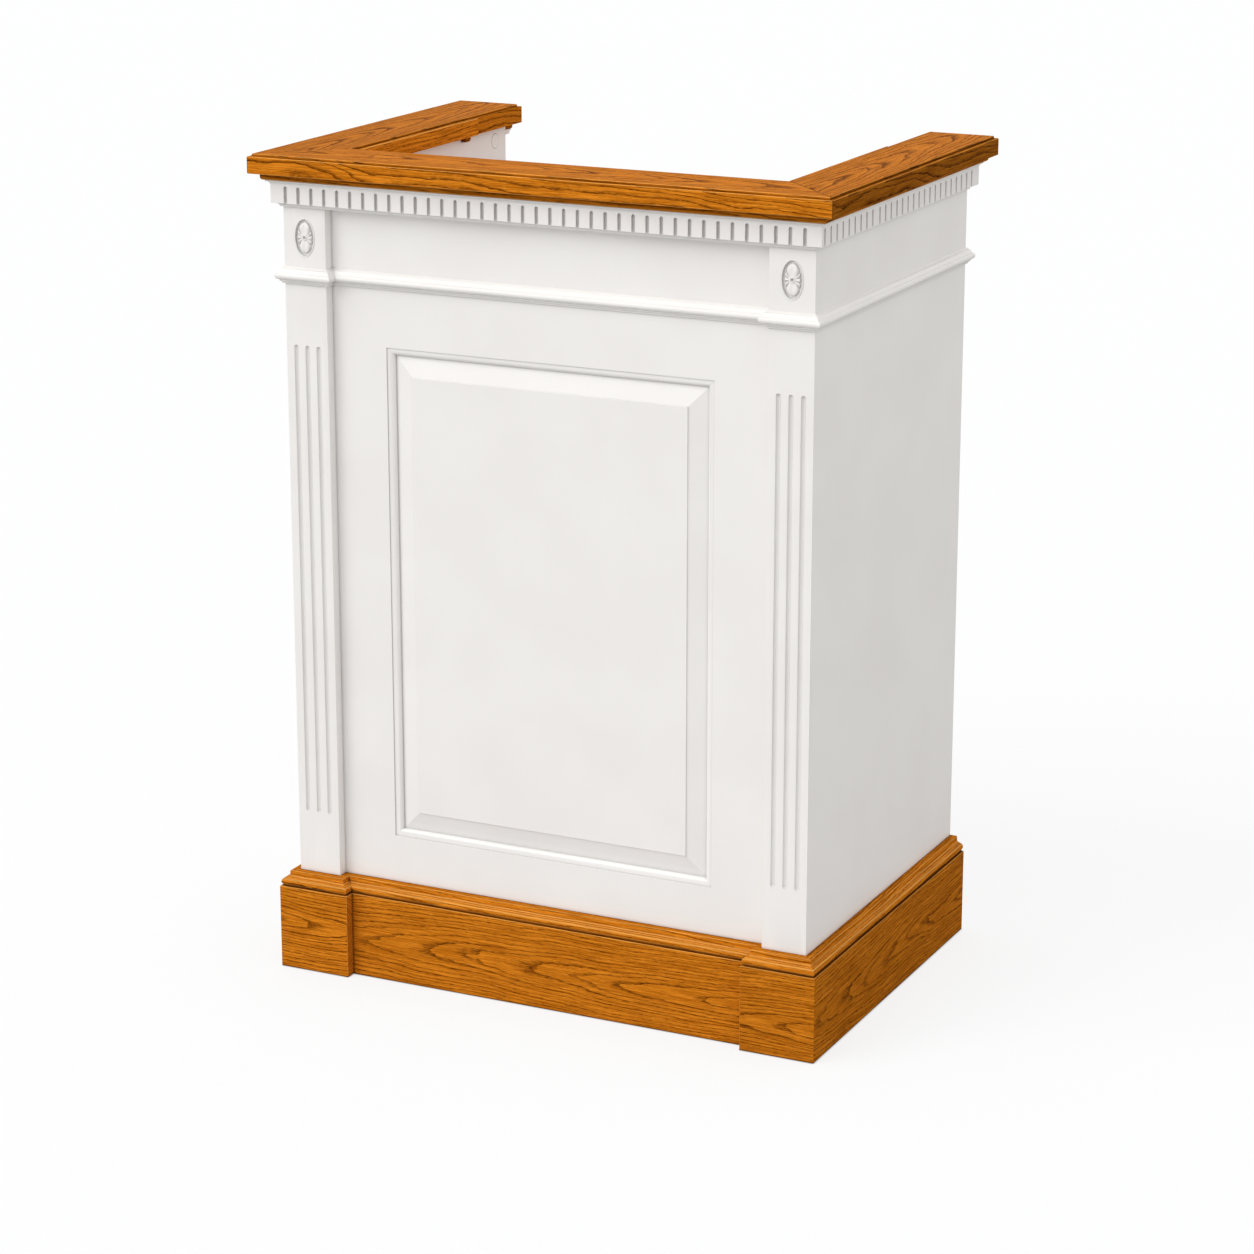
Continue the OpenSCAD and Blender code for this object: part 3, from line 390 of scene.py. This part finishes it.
lying_along_x = ["belt_front", "belt_over_pilasters", "cornice_front", "cornice_backer", "top_rail",
                 "bottom_rail", "frieze_board"]
lying_along_y = ["belt_left", "belt_right", "cornice_left", "cornice_right"]
standing = ["stile_left", "stile_right", "pilaster_left", "pilaster_right", "raised_panel",
            "side_panel_left", "side_panel_right", "end_boards", "front_lining",
            "inner_panel_left", "inner_panel_right", "cover_plugs"]
finish_with(lying_along_x, enamel["x"])
finish_with(lying_along_y, enamel["y"])
finish_with(standing, enamel["z"])
finish_with(["panel_moulding"], deep_shade_enamel)
finish_with(["rosettes"], carved_enamel)
print(len(lying_along_x + lying_along_y + standing) + 2, "pieces painted")

# %% [markdown]
# ## Oak
#
# Oak boards are sawn from a log, so a board's figure is a slice through growth rings. The tree below
# works the same way. It measures each point's distance from the log's heart, and colours it by where
# that falls within a year's ring. Near the middle of a plain-sawn board the saw runs almost along the
# rings and leaves cathedral arches; near its edges it cuts across them and leaves fine straight lines.
#
# Each ring starts with open pores. They drink up the stain and show as short dark dashes. Stain also
# pools in the joints. The quirks and hollows are darkened as pooled stain and painted shade, a board
# that stands on the floor gets a painted contact shadow along its foot, and the arrises and curved
# mouldings are painted lighter as a highlight.

# %% A tree that grows oak
stained_oak = (0.83, 0.275, 0.019)
stained_fibre = (0.50, 0.142, 0.005)
stained_patch = (0.27, 0.066, 0.002)
early_wood = (0.125, 0.027, 0.001)
open_pore = (0.045, 0.009, 0.001)
silvery_fleck = (0.80, 0.36, 0.06)
# A painted highlight for the arrises and curved mouldings
painted_highlight_oak = (0.93, 0.50, 0.14)
# A dark for the hollows and joints: pooled stain and painted shade
stain_and_shade_dark = (0.075, 0.018, 0.001)
oak_inputs = {"Along": 0.0, "Start": 0.0, "Across": 0.0, "Deep": 0.0, "Heart across": 0.0,
              "Heart deep": 0.0, "Tilt": 0.0, "Bold": 0.0, "End": 0.0, "Highlight": 0.0, "Joint and floor shadow": 0.0,
              "Tone": 1.0}
ring_width = 4.2
ring_ripple = 5.0
ring_shiver = 2.4
heart_sway = 25.0


def oak_tree():
    """Nodes that turn a place in the board, in millimetres, into oak."""
    group = bpy.data.node_groups.new("grow_oak", "ShaderNodeTree")
    for name, start in oak_inputs.items():
        socket = group.interface.new_socket(name, in_out="INPUT", socket_type="NodeSocketFloat")
        socket.default_value = start
    group.interface.new_socket("Colour", in_out="OUTPUT", socket_type="NodeSocketColor")
    group.interface.new_socket("Roughness", in_out="OUTPUT", socket_type="NodeSocketFloat")
    group.interface.new_socket("Relief", in_out="OUTPUT", socket_type="NodeSocketFloat")
    source = add(group, "NodeGroupInput").outputs
    along, across, deep = source["Along"], source["Across"], source["Deep"]

    def times(value, factor):
        return maths(group, "MULTIPLY", value, factor)

    def plus(first, second):
        return maths(group, "ADD", first, second)

    def grained(length, width):
        """A place for noise that is drawn out along the grain: one cell is length by width."""
        return vector(group, times(along, 1 / length), times(across, 1 / width), times(deep, 1 / width))

    # The heart wanders as the tree grew, and so do the rings
    sway = maths(group, "SUBTRACT", noise(group, grained(210, 500), 1.0, 1.0), 0.5)
    ripple = maths(group, "SUBTRACT", noise(group, grained(95, 26), 1.0, 2.0), 0.5)
    shiver = maths(group, "SUBTRACT", noise(group, grained(22, 7), 1.0, 2.0), 0.5)
    from_heart = maths(group, "SUBTRACT", across, source["Heart across"])
    from_heart = plus(from_heart, times(sway, heart_sway))
    depth = plus(maths(group, "SUBTRACT", deep, source["Heart deep"]),
                 times(maths(group, "SUBTRACT", along, source["Start"]), source["Tilt"]))
    radius = maths(group, "SQRT", plus(times(from_heart, from_heart), times(depth, depth)))
    radius = plus(radius, times(ripple, ring_ripple))
    radius = plus(radius, times(shiver, ring_shiver))
    year = maths(group, "DIVIDE", radius, ring_width)
    year = plus(year, times(noise(group, vector(group, times(year, 0.4), 0.0, 0.0), 1.0, 1.0), 1.6))
    part = maths(group, "FRACT", year)
    luck = add(group, "ShaderNodeTexWhiteNoise", {"W": maths(group, "FLOOR", year)},
               noise_dimensions="1D").outputs["Value"]
    early = maths(group, "MULTIPLY", fade(group, part, 0.0, 0.45, 1.0, 0.0),
                  fade(group, luck, 0.0, 1.0, 0.55, 1.0))

    # Pores are short dashes, thickest where the ring starts
    pore_noise = noise(group, grained(9.0, 1.1), 1.0, 1.0)
    pores = times(fade(group, pore_noise, 0.50, 0.60), plus(times(early, 0.8), 0.2))
    fibres = noise(group, grained(60, 1.1), 1.0, 2.0)
    patches = noise(group, grained(60, 13), 1.0, 2.0)
    fleck_noise = noise(group, grained(6.5, 1.5), 1.0, 0.0)
    flecks = fade(group, fleck_noise, 0.76, 0.82)

    # From the palest wood to the darkest, then the flecks, the painted highlight, and the pooled stain
    # with painted shade
    colour = blend(group, fade(group, fibres, 0.32, 0.68), stained_oak, stained_fibre)
    colour = blend(group, times(fade(group, patches, 0.45, 0.75), 0.28), colour, stained_patch)
    colour = blend(group, times(early, source["Bold"]), colour, early_wood)
    colour = blend(group, times(pores, 0.85), colour, open_pore)
    colour = blend(group, times(flecks, 0.4), colour, silvery_fleck)
    # Painted highlight: faces that turn off the board's axes are lightened, on arrises and curved
    # mouldings
    colour = blend(group, source["Highlight"], colour, painted_highlight_oak)
    # Hollows get pooled stain and painted shade; the joint input adds the cap's dark mitre line and the
    # painted shadow at a standing board's foot
    pooled_and_shaded = maths(group, "MAXIMUM", hollow(group, 5 * millimetre), source["Joint and floor shadow"])
    colour = blend(group, times(pooled_and_shaded, 0.85), colour, stain_and_shade_dark)
    shade = times(fade(group, source["End"], 0.6, 0.9, 1.0, 0.62), source["Tone"])
    toned = add(group, "ShaderNodeVectorMath", {0: colour, "Scale": shade}, operation="SCALE")
    sink = add(group, "NodeGroupOutput")
    group.links.new(toned.outputs[0], sink.inputs["Colour"])
    rough = plus(times(pores, 0.18), fade(group, fibres, 0.2, 0.8, 0.34, 0.42))
    group.links.new(rough, sink.inputs["Roughness"])
    relief = maths(group, "SUBTRACT", 1.0, plus(times(pores, 0.8), times(early, 0.2)))
    group.links.new(relief, sink.inputs["Relief"])
    return group


grow_oak = oak_tree()
print(len(grow_oak.nodes), "nodes grow the oak")

# %% [markdown]
# ### One log for each board
#
# A board gets its own slice by saying which way its grain runs, where the log's heart lay beside it,
# and how steeply the heart rises along it. Moving the heart is what makes two boards differ. A wide
# board is glued up from staves, each with a heart of its own. Tones are set board by board, as a
# finisher does who wipes one board longer than the next. The coves and brackets under the cap are
# toned darker as painted shade, and the outer side of the cap's right wing gets painted shade too.

# %% Saw the boards
stave_to_stave = 617.0
# The cap's mitres run where the distance from the middle plus y is this many metres
mitre_line = cad_box[1][0] + cad_box[0][1]


def oak_board(name, along, across, deep, beside=0.0, behind=0.0, tilt=0.03, tone=1.0, side_shade=1.0,
              bold=0.88, highlight=0.5, shift=0.0, stave=None, ends=True, mitred=False, floor_shadow=False):
    """An oak finish for one board. The letters name the axes along it, across it and through it.

    The log's heart lay beside and behind the board's middle, in millimetres.
    """
    low, high = boxes[name]
    middle = {letter: (low[i] + high[i]) / 2 / millimetre for i, letter in enumerate("xyz")}
    heart_across = middle[across] + beside
    heart_deep = middle[deep] + behind
    finish, tree = new_finish("oak_" + name)
    here = add(tree, "ShaderNodeTexCoord")
    parts = add(tree, "ShaderNodeSeparateXYZ", {"Vector": here.outputs["Object"]}).outputs
    normal = add(tree, "ShaderNodeVectorMath", {0: here.outputs["Normal"]}, operation="ABSOLUTE")
    facing = add(tree, "ShaderNodeSeparateXYZ", {"Vector": normal.outputs[0]}).outputs
    flat = maths(tree, "MAXIMUM", maths(tree, "MAXIMUM", facing["X"], facing["Y"]), facing["Z"])
    place = {letter: maths(tree, "DIVIDE", parts[letter.upper()], millimetre) for letter in "xyz"}
    start = shift
    # Faces turned across the grain are darkened: painted shade on a board's side
    shade = fade(tree, facing[across.upper()], 0.6, 0.9, tone, tone * side_shade)
    if stave:
        number = maths(tree, "FLOOR", maths(tree, "DIVIDE", place[across], stave))
        luck = add(tree, "ShaderNodeTexWhiteNoise", {"W": maths(tree, "ADD", number, shift)},
                   noise_dimensions="1D").outputs["Value"]
        place[across] = maths(tree, "SUBTRACT", place[across], maths(tree, "MULTIPLY", number, stave))
        start = maths(tree, "MULTIPLY_ADD", number, stave_to_stave, shift)
        heart_across = maths(tree, "MULTIPLY", luck, stave)
        shade = maths(tree, "MULTIPLY", shade, fade(tree, luck, 0.0, 1.0, 1.1, 0.86))
    # Faces whose normal turns off the main axes are lightened: a painted highlight on arrises and
    # curves
    values = {"Along": maths(tree, "ADD", place[along], start), "Start": start,
              "Across": place[across], "Deep": place[deep], "Heart across": heart_across,
              "Heart deep": heart_deep, "Tilt": tilt, "Bold": bold, "Tone": shade,
              "Highlight": fade(tree, flat, 0.78, 0.94, highlight, 0.0)}
    if ends:
        values["End"] = facing[along.upper()]
    if mitred:
        off_joint = maths(tree, "SUBTRACT", maths(tree, "ADD", maths(tree, "ABSOLUTE", parts["X"]),
                                                  parts["Y"]), mitre_line)
        values["Joint and floor shadow"] = fade(tree, maths(tree, "ABSOLUTE", off_joint), 0.4 * millimetre,
                               1.2 * millimetre, 1.0, 0.0)
    # A board standing on the floor gets a dark line along its foot: a painted contact shadow
    if floor_shadow:
        values["Joint and floor shadow"] = fade(tree, parts["Z"], 0.8 * millimetre, 2.4 * millimetre, 1.0, 0.0)
    board = add(tree, "ShaderNodeGroup", node_tree=grow_oak)
    for socket, value in values.items():
        if isinstance(value, bpy.types.NodeSocket):
            tree.links.new(value, board.inputs[socket])
        else:
            board.inputs[socket].default_value = value
    lay_on(tree, board.outputs["Colour"], board.outputs["Roughness"], board.outputs["Relief"],
           0.06 * millimetre, Specular_IOR_Level=0.0015)
    finish_with([name], finish)


oak_board("cap_front", "x", "y", "z", 0.5, -34.5, tilt=0.05, tone=0.92, highlight=0.8, mitred=True)
oak_board("cap_left", "y", "x", "z", -2, -24.5, tilt=0.05, tone=0.81, shift=900, mitred=True)
# The outer side face of the right wing gets painted shade
oak_board("cap_right", "y", "x", "z", -2, -24.5, tilt=0.05, tone=0.82, side_shade=0.49, shift=2100,
          mitred=True)
oak_board("base_board_front", "x", "z", "y", -1, -40.5, tilt=-0.05, tone=0.90, bold=0.68, shift=3300,
          floor_shadow=True)
oak_board("base_board_left", "y", "z", "x", -6, -39, tilt=0.05, tone=0.78, shift=4500, floor_shadow=True)
oak_board("base_board_right", "y", "z", "x", -3, -18, tilt=-0.05, tone=0.68, bold=0.60, shift=5700,
          floor_shadow=True)
oak_board("plinth_block_left", "x", "z", "y", 13, -61.5, tilt=0.07, tone=0.92, shift=6900,
          ends=False, floor_shadow=True)
oak_board("plinth_block_right", "x", "z", "y", -17, -61.5, tilt=-0.07, tone=0.83, bold=0.72,
          shift=8100, ends=False, floor_shadow=True)
oak_board("base_cap_front", "x", "z", "y", 57.25, 60.75, tone=0.95, highlight=0.4, shift=9300)
oak_board("base_cap_left", "y", "z", "x", 57.25, 61.25, tone=0.85, highlight=0.4, shift=10500)
oak_board("base_cap_right", "y", "z", "x", 57.25, -61.25, tone=0.85, highlight=0.4, shift=11700)
oak_board("base_cap_blocks", "x", "z", "y", 57.25, 53.75, tone=0.95, highlight=0.4, shift=12900,
          ends=False)
oak_board("cap_strips", "y", "z", "x", -303.25, 0, tone=0.92, bold=0.6, shift=14100)
# The brackets and coves under the cap are toned darker: painted shade under its overhang
oak_board("cap_brackets", "y", "z", "x", -286.5, 0, tone=0.6, shift=15300)
oak_board("cap_cove_front", "x", "z", "y", 63.5, 77.5, tone=0.62, shift=16500)
oak_board("cap_cove_left", "y", "z", "x", 63.5, 73.5, tone=0.62, shift=17700)
oak_board("cap_cove_right", "y", "z", "x", 63.5, -73.5, tone=0.62, shift=18900)
oak_board("deck", "x", "y", "z", behind=-31.5, tilt=0.04, shift=20100, stave=92)
oak_board("shelf", "x", "y", "z", behind=-34.5, tilt=0.04, shift=21300, stave=82)
oak_board("reading_board", "x", "y", "z", behind=-104.065, tilt=0.05, shift=22500, stave=76)
oak_board("book_stop", "x", "z", "y", -51.8, -37.4, shift=23700)
oak_board("hinge_rail", "x", "z", "y", 6.3, 34.65, shift=24900)
print("oak boards sawn")

# %% [markdown]
# ## Pine
#
# The framing inside the wings and the cleats under the floor board are hardly ever seen, so they are
# plain pine, planed and left bare: pale early wood, narrow amber late wood, and no pores.

# %% Pine
pale_pine = (0.66, 0.46, 0.25)
amber_pine = (0.47, 0.26, 0.10)


def pine_board(name, along):
    """Bare pine with its grain along one axis."""
    finish, tree = new_finish("pine_" + name)
    place = add(tree, "ShaderNodeTexCoord").outputs["Object"]
    parts = add(tree, "ShaderNodeSeparateXYZ", {"Vector": place}).outputs
    stretched = [maths(tree, "MULTIPLY", parts[letter], 6.0 if letter.lower() == along else 90.0)
                 for letter in "XYZ"]
    bend = noise(tree, vector(tree, *stretched), 0.5, 2.0)
    part = maths(tree, "FRACT", maths(tree, "MULTIPLY", bend, 14.0))
    late = fade(tree, part, 0.45, 0.95)
    colour = blend(tree, late, pale_pine, amber_pine)
    nap = noise(tree, vector(tree, *stretched), 8.0, 2.0)
    roughness = fade(tree, nap, 0.2, 0.8, 0.55, 0.7)
    lay_on(tree, colour, roughness, nap, 0.03 * millimetre, IOR=1.45)
    finish_with([name], finish)


pine_board("wing_posts", "z")
pine_board("wing_rails", "y")
pine_board("deck_cleats", "y")
print("pine framing dressed")

# %% [markdown]
# ## Brass
#
# The hinge and its screws, the stays, the studs with their two knobs and the shelf's pins are brass
# with a satin brushing. A few darker clouds of tarnish keep the metal from looking like new foil.

# %% Brass
bright_brass = (0.79, 0.58, 0.26)
tarnished_brass = (0.60, 0.41, 0.16)
brass, tree = new_finish("satin_brass")
place = add(tree, "ShaderNodeTexCoord").outputs["Object"]
clouds = noise(tree, place, 60.0, 3.0)
brushing = noise(tree, add(tree, "ShaderNodeVectorMath", {0: place, 1: (200.0, 4000.0, 4000.0)},
                           operation="MULTIPLY").outputs[0], 1.0, 2.0)
colour = blend(tree, fade(tree, clouds, 0.35, 0.75), bright_brass, tarnished_brass)
lay_on(tree, colour, fade(tree, clouds, 0.3, 0.8, 0.24, 0.42), brushing, 0.004 * millimetre,
       Metallic=1.0)
finish_with(["hinge_rail_leaf", "hinge_board_leaf", "hinge_pin", "rail_screws", "board_screws",
             "quadrant_stays", "clamp_studs", "clamp_knob_left", "clamp_knob_right",
             "shelf_pins"], brass)
print("brass polished")

# %% [markdown]
# ## The box as built
#
# This prints the pulpit's box as it was built, before the dressing.

# %% Finish
bpy.context.view_layer.update()
print("box as built", [list(corner) for corner in cad_box])
